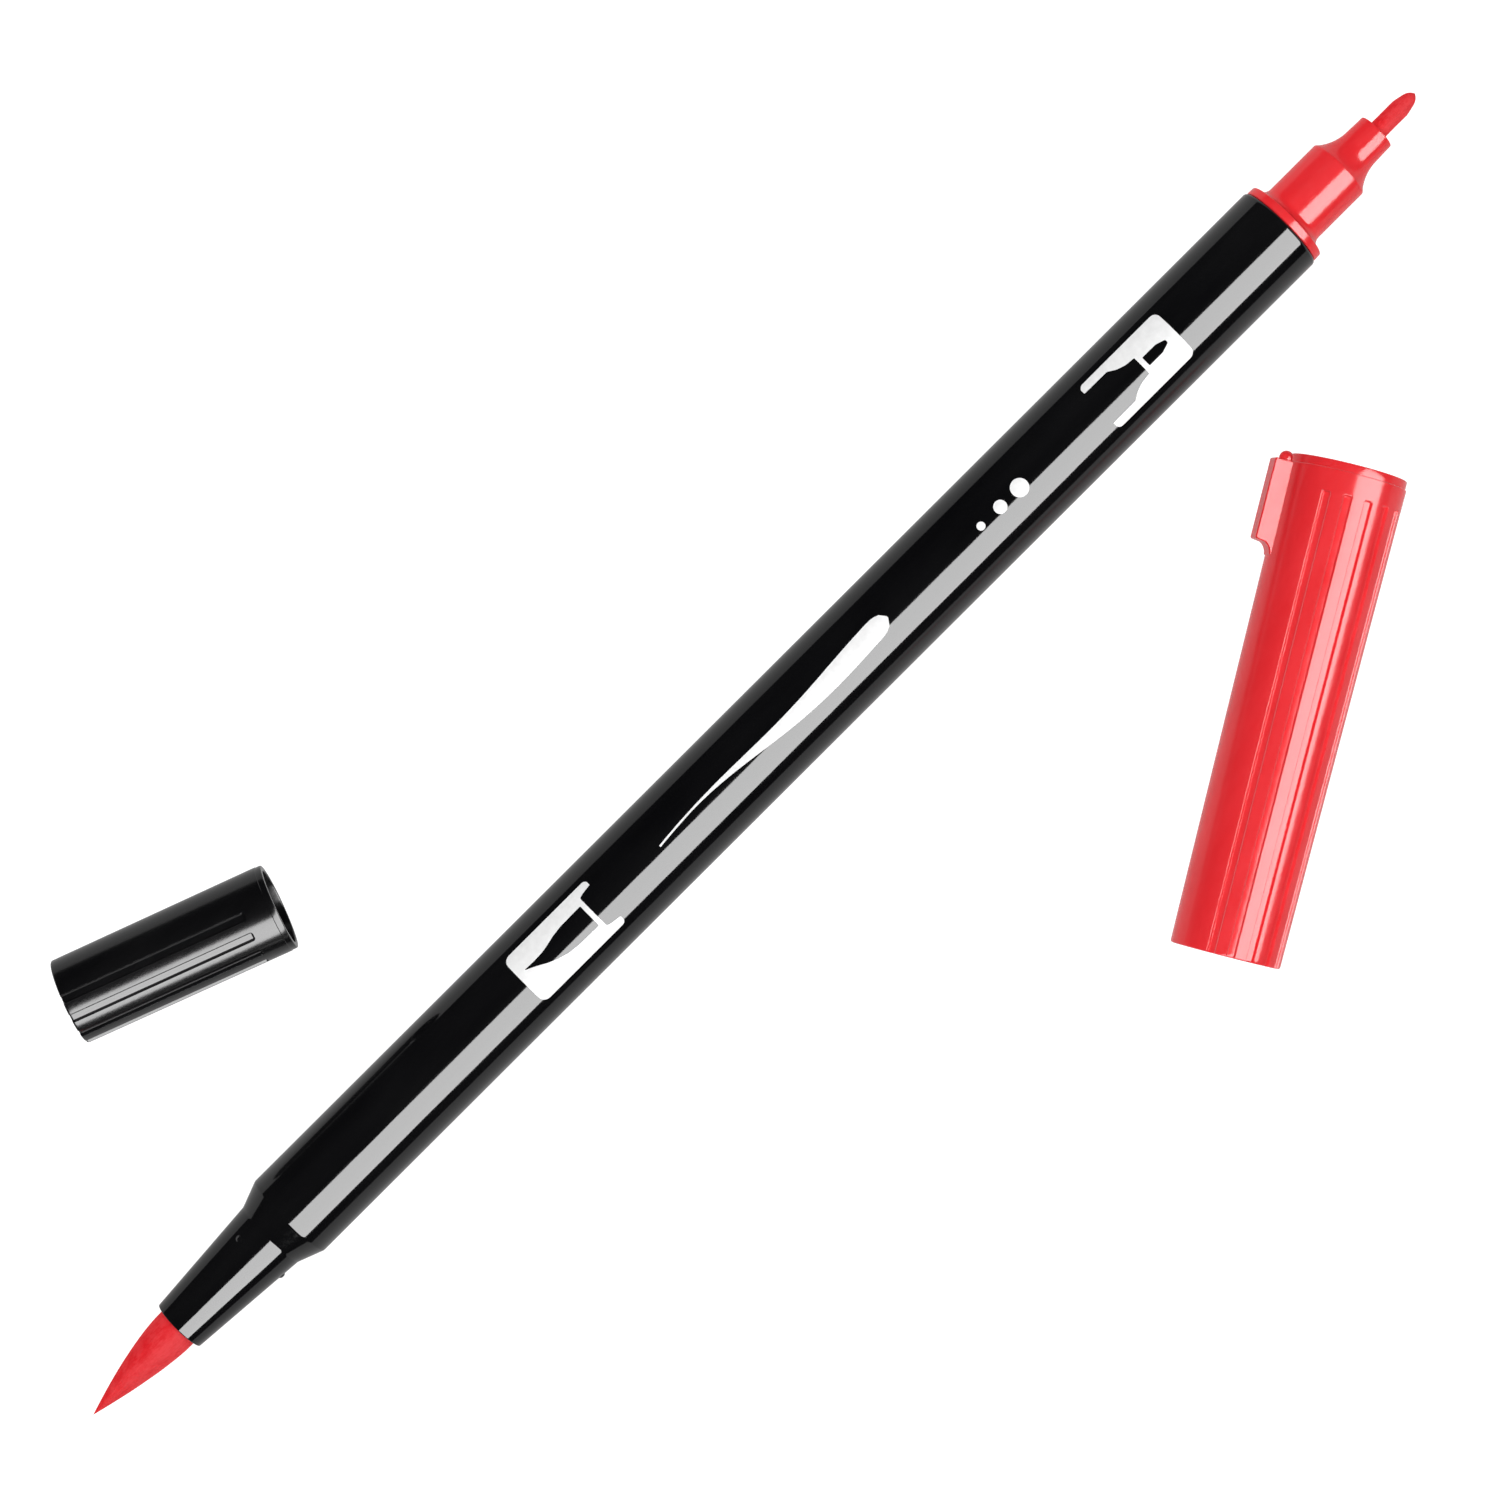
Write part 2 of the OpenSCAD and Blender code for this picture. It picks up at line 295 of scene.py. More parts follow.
def black_plastic(name, gloss):
    """Moulded black plastic with faint clouding, rub marks along its length and fine pits."""
    material, tree, shader = nodes_of(name)
    clouds = noise_of(tree, (0.05, 0.25, 0.25))
    rubs = noise_of(tree, (0.15, 5, 5), detail=6)
    grain = noise_of(tree, (9, 9, 9), detail=3)
    colour = ramp(tree, clouds, [(0.3, (0.0025, 0.0025, 0.003)), (0.75, (0.006, 0.006, 0.0065))])
    tree.links.new(colour, shader.inputs["Base Color"])
    rough = spread(tree, rubs, 0.35, 0.75, gloss, gloss + 0.05)
    tree.links.new(rough, shader.inputs["Roughness"])
    shader.inputs["IOR"].default_value = 1.5
    bump(tree, shader, summed(tree, rubs, grain, 0.5), 0.10, 0.00001)
    return material


def red_plastic():
    """Glossy red plastic that lets a little light through, with flow lines along its length."""
    material, tree, shader = nodes_of("red_gloss_plastic")
    clouds = noise_of(tree, (0.08, 0.3, 0.3))
    flow = noise_of(tree, (1.2, 1.2, 3), detail=6)
    colour = ramp(tree, clouds, [(0.3, (0.80, 0.024, 0.030)), (0.75, (0.86, 0.034, 0.042))])
    tree.links.new(colour, shader.inputs["Base Color"])
    tree.links.new(spread(tree, flow, 0.3, 0.75, 0.13, 0.22), shader.inputs["Roughness"])
    shader.inputs["IOR"].default_value = 1.5
    shader.inputs["Specular IOR Level"].default_value = 0.4
    shader.inputs["Subsurface Weight"].default_value = 0.12
    shader.inputs["Subsurface Radius"].default_value = (1.0, 0.12, 0.1)
    shader.inputs["Subsurface Scale"].default_value = 0.6 * MM
    bump(tree, shader, flow, 0.16, 0.00002)
    return material


def wet_fibre(name, along, across, depth):
    """Ink-soaked fibres that run along X, mottled where the ink is drier."""
    material, tree, shader = nodes_of(name)
    mottle = noise_of(tree, (0.7, 0.9, 0.9), detail=5, rough=0.7)
    strands = noise_of(tree, (along, across, across), detail=4, rough=0.6)
    both = summed(tree, mottle, strands, 0.45)
    colour = ramp(tree, both, [
        (0.42, (0.62, 0.006, 0.011)), (0.62, (0.72, 0.010, 0.016)), (0.86, (0.78, 0.035, 0.042)),
    ])
    tree.links.new(colour, shader.inputs["Base Color"])
    tree.links.new(spread(tree, both, 0.4, 0.9, 0.6, 0.8), shader.inputs["Roughness"])
    shader.inputs["Specular IOR Level"].default_value = 0.12
    shader.inputs["Sheen Weight"].default_value = 0.05
    shader.inputs["Sheen Roughness"].default_value = 0.4
    bump(tree, shader, both, 0.5, depth)
    return material


def print_ink():
    """Opaque white printed ink with a slightly uneven film."""
    material, tree, shader = nodes_of("white_print_ink")
    film = noise_of(tree, (1.4, 1.4, 1.4), detail=5)
    colour = ramp(tree, film, [(0.3, (0.80, 0.80, 0.80)), (0.7, (0.88, 0.88, 0.88))])
    tree.links.new(colour, shader.inputs["Base Color"])
    tree.links.new(spread(tree, film, 0.3, 0.7, 0.38, 0.5), shader.inputs["Roughness"])
    bump(tree, shader, film, 0.15, 0.00001)
    return material


def plain_plastic(name, low, high, rough):
    """Unpolished moulded plastic with a fine mottled grain."""
    material, tree, shader = nodes_of(name)
    grain = noise_of(tree, (4, 4, 4), detail=5)
    tree.links.new(ramp(tree, grain, [(0.3, low), (0.7, high)]), shader.inputs["Base Color"])
    tree.links.new(spread(tree, grain, 0.3, 0.7, rough, rough + 0.12), shader.inputs["Roughness"])
    bump(tree, shader, grain, 0.2, 0.00002)
    return material


BLACK = black_plastic("black_gloss_plastic", 0.05)
BLACK_SATIN = black_plastic("black_satin_plastic", 0.17)
RED = red_plastic()
BRUSH_FIBRE = wet_fibre("brush_fibre", 0.5, 9, 0.00004)
NIB_FIBRE = wet_fibre("nib_fibre", 2.5, 8, 0.00002)
STORE_FIBRE = wet_fibre("store_fibre", 0.3, 5, 0.00005)
PRINT = print_ink()
FILM = plain_plastic("clear_film", (0.7, 0.62, 0.6), (0.8, 0.74, 0.72), 0.15)
PALE = plain_plastic("pale_plastic", (0.66, 0.62, 0.57), (0.78, 0.75, 0.7), 0.4)


# ---------------------------------------------------------------- pen

def make_barrel():
    """Barrel with its rounded edge, shoulder, tapered neck and snap bumps."""
    shoulder, bump_back = 2.6, 2.1
    root_r, mouth_r, hole_r = 3.875, 2.9, 2.35
    neck_x = X_BRUSH - shoulder
    bump_x = neck_x - bump_back
    taper = (root_r - mouth_r) / (neck_x - X_MOUTH)
    close_rows = [bump_x + 0.6 - 0.06 * k for k in range(21)]
    outside = [(X_FINE, BARREL_R, 0.6), (X_BRUSH + 0.1, BARREL_R, 0.5), (neck_x, root_r, 0.9)]
    outside += [(x, mouth_r + taper * (x - X_MOUTH), 0) for x in close_rows]
    outside += [(X_MOUTH, mouth_r, 0.12)]
    inside = [
        (X_MOUTH, hole_r, 0.14), (X_MOUTH + 2.4, hole_r, 0.2), (neck_x, 3.0, 0.3),
        (X_BRUSH + 0.5, 3.3, 0.3), (X_BRUSH + 4, BARREL_BORE, 0.5),
    ]
    outline = softened([(X_FINE, BARREL_BORE, 0.1)] + outside + inside, step=8)
    barrel = turned("barrel_body", outline, BLACK, sharp=50)
    snap_bumps(barrel, bump_x)
    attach(barrel, "pen")
    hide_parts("barrel")


def snap_bumps(barrel, x):
    """Raises three low bumps round the neck's root, where the long cap snaps on."""
    height, flat, edge = 0.16, 0.14, 0.3
    inside_r, reach = 3.4, 0.7
    angles = [math.radians(60 + 120 * i) for i in range(3)]
    sides = [Vector((math.cos(a), math.sin(a))) for a in angles]
    for v in barrel.data.vertices:
        p = v.co / MM
        ring = Vector((p.y, p.z))
        if ring.length < inside_r or abs(p.x - x) > reach:
            continue
        away = min(math.hypot(p.x - x, (ring - side * ring.length).length) for side in sides)
        raised = height * (1 - smoothstep((away - flat) / edge))
        v.co.yz = ring * (1 + raised / ring.length) * MM


def make_nose():
    """Flange, cap seat and flared front of the fine end."""
    tip_x, tip_r = X_FINE + 13.6, 2.025
    flare_r, fillet_r, plug, plug_hole_r = 4.9, 1.05, 10, 2.4
    flare = arc(tip_x - 2.1, tip_r + 0.06 + flare_r, flare_r, 229.5, 270, 14)
    outline = softened([
        (X_FINE - plug, plug_hole_r, 0.1), (X_FINE - plug, BARREL_BORE, 0.2), (X_FINE, BARREL_BORE, 0),
    ], closed=False)
    outline += softened([
        (X_FINE, BARREL_BORE, 0), (X_FINE, 4.75, 0.16), (X_FINE + 0.9, 4.7, 0.14), (X_FINE + 0.95, 4.4, 0),
    ], closed=False)[1:]
    outline += arc(X_FINE + 2, NOSE_R + fillet_r, fillet_r, 183, 270, 8)
    outline += softened([
        (X_FINE + 2.4, NOSE_R, 0), (flare[0][0] - 0.12, NOSE_R, 0.3), flare[1] + (0,),
    ], closed=False)
    outline += flare[2:]
    outline += softened([
        (tip_x - 1, tip_r + 0.02, 0), (tip_x, tip_r, 0.14), (tip_x, NIB_R, 0.12), (tip_x - 3, NIB_R, 0),
        (X_FINE + 7.6, plug_hole_r, 0),
    ], closed=False)
    nose = turned("fine_nose_body", outline, RED, sharp=35)
    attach(nose, "pen")
    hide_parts("fine_nose")


def make_nib():
    """Fibre nib with its bullet point, a little uneven all over."""
    point, chamfer, rings, point_rings = 2.1, 0.6, 60, 24
    body, shoulder = X_NIB_BACK + chamfer, X_NIB_POINT - point
    stations = [(X_NIB_BACK, 0), (X_NIB_BACK, 0.8 * NIB_R)]
    stations += [(body + (shoulder - body) * i / rings, NIB_R) for i in range(rings + 1)]
    for i in range(1, point_rings):
        t = i / point_rings
        stations.append((shoulder + point * t, NIB_R * (1 - 0.42 * t - 0.58 * t ** 6)))
    stations.append((X_NIB_POINT, 0))

    def uneven(x, r, a):
        t = math.radians(a)
        return r * (1 + 0.012 * noise.noise(Vector((x * 2.2, 2.5 * math.sin(t), 2.5 * math.cos(t)))))

    verts, faces = revolved(stations, even_angles(96), Matrix.Identity(4), uneven)
    nib = piece_from("fine_nib_body", verts, faces, NIB_FIBRE, sharp=60)
    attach(nib, "pen")
    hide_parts("fine_nib")


def make_brush():
    """One-piece brush that leaves the neck, tapers to a point and droops a little to one side."""
    root_r, straight, inside, droop = 2.25, 1, 2.2, 0.24
    free = X_MOUTH - X_BRUSH_POINT
    first, last, rings = 0.1 - inside, free - 0.05, 90

    def brush_r(s):
        return root_r * (1 - (max(0.0, s - straight) / (free - straight)) ** 1.5)

    steps = [first + (last - first) * i / rings for i in range(rings + 1)]
    stations = [(X_MOUTH + inside, 0), (X_MOUTH + inside, root_r - 0.05)]
    stations += [(X_MOUTH - s, brush_r(s)) for s in steps]
    stations.append((X_BRUSH_POINT, 0))

    def strands(x, r, a):
        t = math.radians(a)
        fine = noise.noise(Vector((x * 0.25, 7 * math.sin(t), 7 * math.cos(t))))
        return max(0.004, r + 0.03 * fine * min(1, r / 1.2))

    verts, faces = revolved(stations, even_angles(144), Matrix.Identity(4), strands)
    for v in verts:
        s = max(0.0, X_MOUTH - v.x) / free
        v.y -= droop * s * s
    brush = piece_from("brush_body", verts, faces, BRUSH_FIBRE, sharp=80)
    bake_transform(brush)
    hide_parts("brush_tip")


# ---------------------------------------------------------------- printed marks

def inside_outline(p, outline):
    """True if the point is inside the closed outline."""
    hit = False
    for (x0, y0), (x1, y1) in zip(outline, outline[1:] + outline[:1]):
        if (y0 > p[1]) != (y1 > p[1]) and p[0] < (x1 - x0) * (p[1] - y0) / (y1 - y0) + x0:
            hit = not hit
    return hit


def stepped(outline, step):
    """The closed outline with its long edges split, so that they can follow the barrel's curve."""
    points = []
    for (x0, y0), (x1, y1) in zip(outline, outline[1:] + outline[:1]):
        parts = math.ceil(math.hypot(x1 - x0, y1 - y0) / step)
        points += [(x0 + (x1 - x0) * k / parts, y0 + (y1 - y0) * k / parts) for k in range(parts)]
    return points


def printed(name, shapes, holes=(), grid=0.35):
    """A film of ink on top of the barrel. Outlines are (x, y) with y the arc length from the top."""
    shapes = [stepped(shape, grid) for shape in shapes]
    holes = [stepped(hole, grid) for hole in holes]
    points, edges = [], []
    for outline in shapes + holes:
        first = len(points)
        points += [Vector(p) for p in outline]
        edges += [(first + i, first + (i + 1) % len(outline)) for i in range(len(outline))]
    xs, ys = [p.x for p in points], [p.y for p in points]
    for i in range(int((max(xs) - min(xs)) / grid)):
        for j in range(int((max(ys) - min(ys)) / grid) + 1):
            points.append(Vector((min(xs) + (i + 0.5) * grid, min(ys) + j * grid)))
    flat, _, faces, *_ = geometry.delaunay_2d_cdt(points, edges, [], 0, 1e-5)

    def inked(face):
        c = sum((flat[i] for i in face), Vector((0, 0))) / len(face)
        return any(inside_outline(c, s) for s in shapes) and not any(inside_outline(c, h) for h in holes)

    kept = [face for face in faces if inked(face)]
    above, below = 0.014, 0.006
    used = sorted({i for face in kept for i in face})
    at = {i: k for k, i in enumerate(used)}
    verts = []
    for r in (BARREL_R + above, BARREL_R - below):
        for i in used:
            a = flat[i].y / BARREL_R
            verts.append(Vector((flat[i].x, r * math.sin(a), r * math.cos(a))))
    n = len(used)
    skin = [tuple(at[i] for i in face) for face in kept]
    sides = dict.fromkeys(side for face in skin for side in zip(face, face[1:] + face[:1]))
    rim = [(a, b) for a, b in sides if (b, a) not in sides]
    all_faces = skin + [tuple(n + i for i in reversed(f)) for f in skin]
    all_faces += [(b, a, n + a, n + b) for a, b in rim]
    mark = piece_from(name, verts, all_faces, PRINT, sharp=40)
    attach(mark, "pen")


def brush_mark():
    """Patch by the brush end, open towards the barrel, with a brush and its neck left bare."""
    back, front, w = -36.6, -25.15, 3.1
    patch = softened([(back, -w, 0.85), (front, -w, 0.5), (front, w, 0.5), (back, w, 0.85)])
    upper = [(-35.8, 0.81), (-34.4, 0.76), (-33.3, 0.8), (-32.5, 0.92), (-31.3, 1.2), (-30.1, 1.36)]
    lower = [(-30.0, -1.26), (-31.3, -1.12), (-32.5, -0.77), (-33.5, -0.34), (-34.4, 0.16), (-35.2, 0.56)]
    leaf = softened([(x, y, 1.5) for x, y in upper[1:]] + [
        (-27.3, 1.4, 0.1), (-27.3, -1.3, 0.1),
    ] + [(x, y, 1.5) for x, y in lower] + [(*upper[0], 0.05)])
    bar = -26.77
    neck = softened([
        (bar, -1.88, 0.2), (bar + 0.52, -2.05, 0.3), (front - 0.1, -2.2, 0.35), (front + 1, -2.5, 0),
        (front + 1, 2.6, 0), (front - 0.1, 2.3, 0.35), (bar + 0.52, 2.15, 0.3), (bar, 2.0, 0.2),
    ])
    printed("brush_end_mark", [patch], [leaf, neck])


def fine_mark():
    """Patch by the fine end, open towards the barrel, with a nib and its nose left bare."""
    back, front, w = 43.95, 54.66, 3.05
    patch = softened([(back, -w, 0.6), (front, -w, 0.75), (front, w, 0.75), (back, w, 0.6)])
    nib = softened([
        (50.47, -0.54, 0.08), (52.3, -0.54, 0.5), (53.35, -0.2, 0.2),
        (53.35, 0.2, 0.2), (52.3, 0.54, 0.5), (50.47, 0.54, 0.08),
    ])
    side = [(49.9, 1.08, 0.1), (48.8, 1.2, 1.2), (47.85, 1.52, 1.5), (47.05, 2.08, 0.35)]
    nose = softened([(back - 1, -2.12, 0)] + [(x, -y, r) for x, y, r in reversed(side)]
                    + side + [(back - 1, 2.12, 0)])
    printed("fine_end_mark", [patch], [nib, nose])


def stroke_mark():
    """A plain brush stroke that swells from a hairline to a round end."""
    x0, length, steps = -17.5, 32.0, 64
    upper, lower = [], []
    for i in range(steps + 1):
        t = i / steps
        swell = 0.10 + 1.0 * smoothstep((t - 0.12) / 0.75)
        if t > 0.94:
            swell *= math.sqrt(max(0.0, 1 - ((t - 0.94) / 0.06) ** 2)) * 0.92 + 0.08
        middle = 0.42 * math.sin(2 * math.pi * t * 1.15) * (1 - 0.5 * t)
        upper.append((x0 + length * t, middle + swell))
        lower.append((x0 + length * t, middle - swell))
    printed("stroke_mark", [upper + lower[::-1]])


def dot_marks():
    """Three dots that grow towards the fine end."""
    dots = [arc(27.4 + 2.7 * i, 0, 0.45 + 0.26 * i, 0, 348, 29) for i in range(3)]
    printed("dot_marks", dots, grid=0.25)


# ---------------------------------------------------------------- caps

def cap_place(mount, back, roll):
    """Frame of a cap: X from its closed end to its mouth. back is how far the mount is from that end."""
    axis = Vector(MOUNTS[mount]["axis"]).normalized()
    side = Vector((0, 0, 1)).cross(axis)
    basis = Matrix((axis, side, Vector((0, 0, 1)))).transposed().to_4x4()
    start = Vector(MOUNTS[mount]["pos_m"]) / MM - axis * back
    return Matrix.Translation(start) @ basis @ Matrix.Rotation(math.radians(roll), 4, "X")


def groove_angles(middle, count, pitch, radius):
    """Angles round a cap with close rows at every groove's edges, and the grooves' own middles."""
    middles = [middle + (i - (count - 1) / 2) * pitch for i in range(count)]
    half = math.degrees(GROOVE_WIDTH / 2 / radius)
    bevel = math.degrees(0.09 / radius)
    widest = 2.2
    rows = set()
    for m in middles:
        for side in (-1, 1):
            for k in range(5):
                rows.add(round(m + side * (half + bevel * (k - 2) / 2), 4))
        rows.add(round(m, 4))
    ordered = sorted(rows)
    gaps = list(zip(ordered, ordered[1:])) + [(ordered[-1], ordered[0] + 360)]
    for a, b in gaps:
        parts = math.ceil((b - a) / widest)
        rows.update(round(a + (b - a) * k / parts, 4) for k in range(1, parts))
    return sorted(rows), middles


def cap_stations(length, end_r, mouth_r, lip, lip_step):
    """Outside of a cap from its closed end to its mouth, with close rows where the grooves start."""
    def r_at(x):
        return end_r + (mouth_r - end_r) * x / length

    edge, groove_end, body_end = 0.22, length - GROOVE_START, length - lip
    rows = [(0, 0), (0.14, 0.5), (0.14, 0.62), (0, 0.8), (0, end_r * 0.6)]
    rows += arc(edge, end_r - edge, edge, 180, 90, 4)
    plain = [0.6 + (groove_end - 1.2) * k / 40 for k in range(41)]
    close = [groove_end + 0.05 * k for k in range(-8, 9)]
    rows += [(x, r_at(x)) for x in plain if x < groove_end - 0.5]
    rows += [(x, r_at(x)) for x in close]
    rows += [(body_end - 0.5, mouth_r), (body_end - 0.06, mouth_r), (body_end, mouth_r - 0.05)]
    rows += [(body_end + 0.02, mouth_r - lip_step), (length - 0.14, mouth_r - lip_step)]
    rows += [(length - 0.04, mouth_r - lip_step - 0.04), (length, mouth_r - lip_step - 0.14)]
    return rows


def grooved_cap(name, place, size, grooves, lip, hollow, material):
    """A cap shell with grooves that start short of its mouth and run out through its closed end.
    size is (length, end_r, mouth_r), grooves (middle, count, pitch) in degrees, lip (length, step)."""
    length, end_r, mouth_r = size
    angles, middles = groove_angles(*grooves, mouth_r)
    corner, slope, reach = 0.18, 0.18, 0.6

    def cut(x, r, a):
        from_end = x - (length - GROOVE_START)
        if r < end_r - reach or from_end > reach:
            return r
        off = min(abs((a - m + 180) % 360 - 180) for m in middles)
        wall = math.radians(off) * mouth_r - GROOVE_WIDTH / 2
        if wall > -corner and from_end > -corner:
            wall = math.hypot(wall + corner, from_end + corner) - corner
        else:
            wall = max(wall, from_end)
        return r - GROOVE_DEPTH * (1 - smoothstep(wall / slope + 0.5))

    outside = cap_stations(length, end_r, mouth_r, *lip)
    verts, faces = revolved(outside + hollow, angles, place, cut)
    return piece_from(name, verts, faces, material, sharp=CAP_SHARP)


def stop_tab(place, length, mouth_r):
    """Stop tab with its curved run-out, as a bevelled solid."""
    height, tab_length, set_back, runout, half, buried = 1.7, 8.3, 0.9, 1.3, 1.2, 0.35
    root, top, front = mouth_r - buried, mouth_r + height, length - set_back
    back = front - tab_length
    outline = [(back - runout, root)] + arc(back - runout, root + 0.3 + runout, runout, 270, 335, 10)
    outline += [(back, top), (front, top), (front, root)]
    verts, n = [], len(outline)
    for side in (-1, 1):
        verts += [place @ Vector((x, y, side * half)) for x, y in outline]
    faces = [tuple(range(n)), tuple(range(2 * n - 1, n - 1, -1))]
    faces += [(i, (i + 1) % n, n + (i + 1) % n, n + i) for i in range(n)]
    tab = piece_from("tab_tool", verts, faces, RED)
    soft = tab.modifiers.new("edges", "BEVEL")
    soft.width = 0.12 * MM
    soft.segments = 1
    soft.limit_method = "ANGLE"
    soft.angle_limit = math.radians(40)
    return applied(tab)


def rim_nub(place, length, mouth_r):
    """Small round nub on the front of the tab."""
    r, set_back, rise = 0.74, 0.65, 0.375
    outline = [(-r, 0)] + arc(0, 0, r, 180, 0, 16)[1:-1] + [(r, 0)]
    verts, faces = revolved(outline, even_angles(32), Matrix.Identity(4))
    shift = place @ Matrix.Translation((length - set_back, mouth_r + rise, 0))
    return piece_from("nub_tool", [shift @ v for v in verts], faces, RED, sharp=80)


def make_long_cap():
    """Grooved red cap with its stop tab and nub, and the inner cup behind its seat."""
    length, end_r, mouth_r = 50.2, 5.625, 6.075
    seat = MOUNTS["long_cap_bore"]["dims"]["length_mm"]
    bore = MOUNTS["long_cap_bore"]["dims"]["r_mm"]
    chamber = MOUNTS["long_cap_chamber"]["dims"]["r_mm"]
    place = cap_place("long_cap_bore", length, 8)
    step_x, cup_r = length - seat, 4.8
    hollow = softened([
        (length, mouth_r - 0.35, 0), (length, bore, 0.2), (step_x, bore, 0.1), (step_x, cup_r, 0),
        (CAP_END_WALL, cup_r, 0.3), (CAP_END_WALL, 0, 0),
    ], closed=False)
    shell = grooved_cap("long_cap_body", place, (length, end_r, mouth_r), (85.5, 12, 20.8), (0.9, 0.13),
                        hollow, RED)
    joined_solid(shell, stop_tab(place, length, mouth_r))
    joined_solid(shell, rim_nub(place, length, mouth_r))
    shell.data.set_sharp_from_angle(angle=math.radians(CAP_SHARP))
    shell.visible_glossy = False  # so that it leaves no red streak in the barrel's side
    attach(shell, "long_cap")
    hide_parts("long_cap_shell")

    floor_x = CAP_END_WALL + 0.8
    cup = softened([
        (CAP_END_WALL, 0, 0), (CAP_END_WALL, cup_r, 0.2), (step_x, cup_r, 0.15), (step_x, chamber, 0.3),
        (floor_x, chamber, 0.5), (floor_x, 0, 0),
    ], closed=False)
    liner = turned("long_cap_liner", cup, RED, place)
    liner.visible_glossy = False
    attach(liner, "long_cap")
    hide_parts("long_cap_inner")


def make_short_cap():
    """Grooved black cap and the thin liner inside its mouth."""
    length, end_r, mouth_r, recess = 23.1, 4.5, 4.575, 0.8
    bore = MOUNTS["short_cap_bore"]["dims"]["r_mm"]
    place = cap_place("short_cap_bore", length - recess, 0)
    liner_r, liner_x = bore + 0.36, length - recess
    hollow = softened([
        (length, mouth_r - 0.19, 0), (length, liner_r + 0.02, 0.12), (CAP_END_WALL, liner_r, 0.3),
        (CAP_END_WALL, 0, 0),
    ], closed=False)
    shell = grooved_cap("short_cap_body", place, (length, end_r, mouth_r), (90, 8, 27.3), (0.6, 0.05),
                        hollow, BLACK_SATIN)
    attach(shell, "short_cap")
    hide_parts("short_cap_shell")

    floor_x = CAP_END_WALL + 0.6
    cup = softened([
        (CAP_END_WALL, 0, 0), (CAP_END_WALL, liner_r, 0.15), (liner_x, liner_r, 0.08),
        (liner_x, bore, 0.12), (floor_x, bore, 0.4), (floor_x, 0, 0),
    ], closed=False)
    liner = turned("short_cap_liner", cup, BLACK_SATIN, place)
    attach(liner, "short_cap")
    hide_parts("short_cap_inner")


# ---------------------------------------------------------------- carried-over nodes and stage

def finish_inner_nodes():
    """Materials of the inner CAD nodes, which keep their shape."""
    for node, material in (("brush_shank", BRUSH_FIBRE), ("nib_holder", PALE),
                           ("ink_reservoir", STORE_FIBRE), ("reservoir_sleeve", FILM)):
        mesh = frame["nodes"][node].data
        mesh.materials.clear()
        mesh.materials.append(material)


def make_floor():
    """Plain white floor, bright enough of itself that shadows stay faint, and dimmer in reflections."""
    half, z = 2.0, FLOOR_Z - 0.02 * MM
    corners = [(-half, -half, z), (half, -half, z), (half, half, z), (-half, half, z)]
    mesh = bpy.data.meshes.new("floor")
    mesh.from_pydata(corners, [], [(0, 1, 2, 3)])
    floor = bpy.data.objects.new("floor", mesh)
    bpy.context.scene.collection.objects.link(floor)
    material, tree, shader = nodes_of("white_floor")
    shader.inputs["Base Color"].default_value = (0.3, 0.3, 0.3, 1)
    shader.inputs["Roughness"].default_value = 0.9
    shader.inputs["Specular IOR Level"].default_value = 0.0
    shader.inputs["Emission Color"].default_value = (1, 1, 1, 1)
    path = tree.nodes.new("ShaderNodeLightPath")
    glow = spread(tree, path.outputs["Is Glossy Ray"], 0, 1, 0.96, 0.3)
    tree.links.new(glow, shader.inputs["Emission Strength"])
    mesh.materials.append(material)


def softbox(name, centre, size, radiance, diffuse, glossy):
    """Area light of that radiance aimed at the pen, for diffuse light, for reflections, or for both."""
    light = bpy.data.lights.new(name, "AREA")
    light.shape = "RECTANGLE"
    light.size, light.size_y = size
    light.energy = radiance * math.pi * size[0] * size[1]
    obj = bpy.data.objects.new(name, light)
    bpy.context.scene.collection.objects.link(obj)
    away = Vector(centre).normalized()
    along = (Vector((1, 0, 0)) - away * away.x).normalized()
    turn = Matrix((along, away.cross(along), away)).transposed().to_4x4()
    obj.matrix_world = Matrix.Translation(centre) @ turn
    obj.visible_diffuse = diffuse
    obj.visible_glossy = glossy
    obj.visible_camera = False


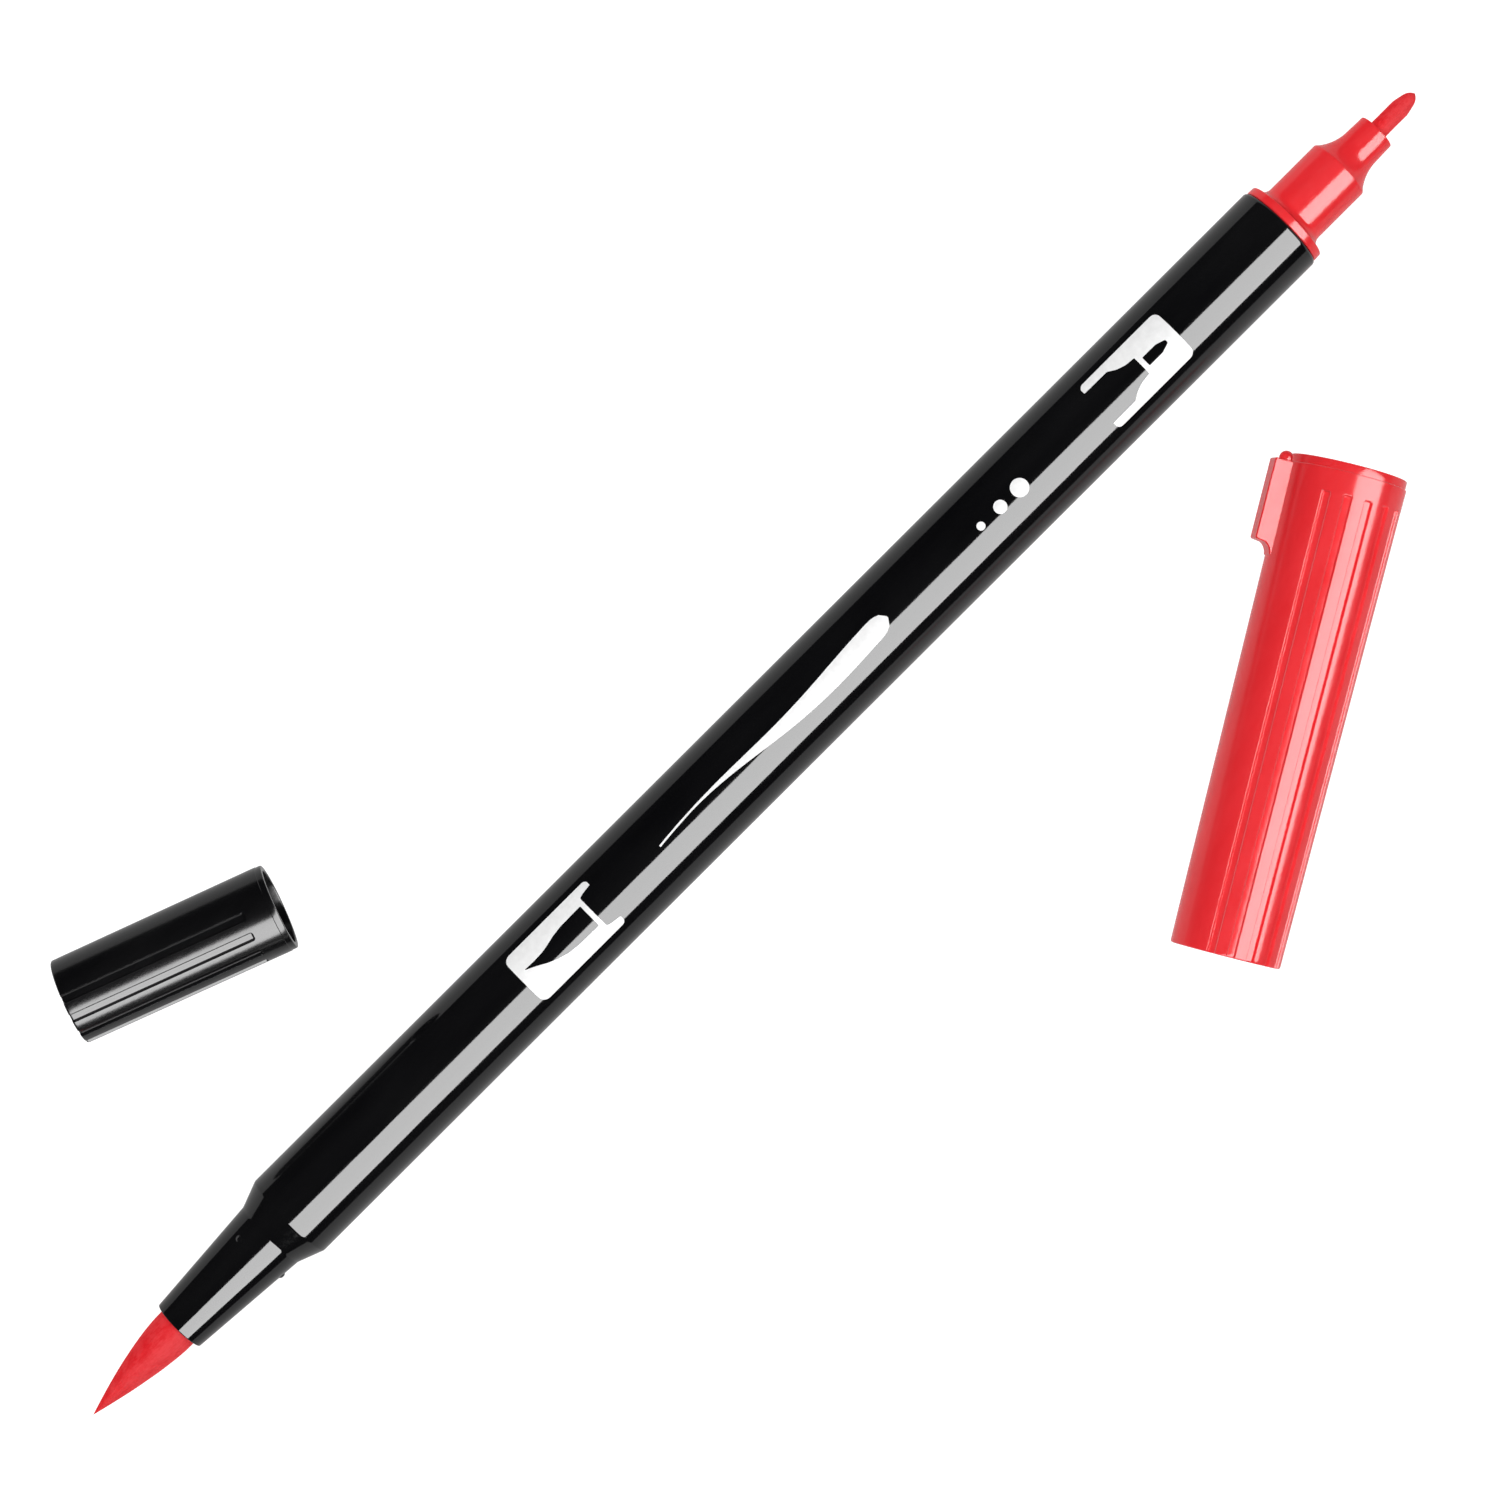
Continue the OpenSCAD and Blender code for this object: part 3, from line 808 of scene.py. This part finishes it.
def make_lights():
    """A long strip for the highlights, and two soft boxes for the light that falls on the pieces."""
    def at(distance, tilt):
        """A place tilt degrees from overhead, towards -Y."""
        a = math.radians(tilt)
        return (0, -distance * math.sin(a), distance * math.cos(a))

    softbox("strip_box", at(0.5, 38.6), (1.0, 0.477), 12.5, diffuse=False, glossy=True)
    softbox("key_box", at(0.7, 42), (1.0, 0.6), 2.0, diffuse=True, glossy=False)
    softbox("top_box", at(0.9, -25), (0.9, 0.9), 3.0, diffuse=True, glossy=False)


def make_world():
    """White where the camera sees past the floor, and nearly black in reflections."""
    world = bpy.data.worlds.new("studio")
    world.use_nodes = True
    bpy.context.scene.world = world
    tree = world.node_tree
    seen = tree.nodes["Background"]
    seen.inputs["Color"].default_value = (1, 1, 1, 1)
    dark = tree.nodes.new("ShaderNodeBackground")
    dark.inputs["Color"].default_value = (0.01, 0.01, 0.01, 1)
    path = tree.nodes.new("ShaderNodeLightPath")
    mix = tree.nodes.new("ShaderNodeMixShader")
    tree.links.new(path.outputs["Is Camera Ray"], mix.inputs["Fac"])
    tree.links.new(dark.outputs["Background"], mix.inputs[1])
    tree.links.new(seen.outputs["Background"], mix.inputs[2])
    tree.links.new(mix.outputs["Shader"], tree.nodes["World Output"].inputs["Surface"])


def make_camera():
    """Straight above, with the pen running from the lower left to the upper right."""
    height, width, sensor = 0.5, 0.15, 36
    aside, roll = 0.455, -44.922
    camera = bpy.data.cameras.new("camera")
    camera.sensor_width = sensor
    camera.lens = sensor * height / width
    obj = bpy.data.objects.new("camera", camera)
    bpy.context.scene.collection.objects.link(obj)
    middle = Matrix.Translation(((X_NIB_POINT + X_BRUSH_POINT) / 2 * MM, aside * MM, height))
    obj.matrix_world = middle @ Matrix.Rotation(math.radians(roll), 4, "Z")
    bpy.context.scene.camera = obj


make_camera()
make_barrel()
make_nose()
make_nib()
make_brush()
brush_mark()
fine_mark()
stroke_mark()
dot_marks()
make_long_cap()
make_short_cap()
finish_inner_nodes()
make_floor()
make_lights()
make_world()
bpy.context.scene.view_settings.view_transform = "Standard"
bpy.context.scene.view_settings.look = "None"
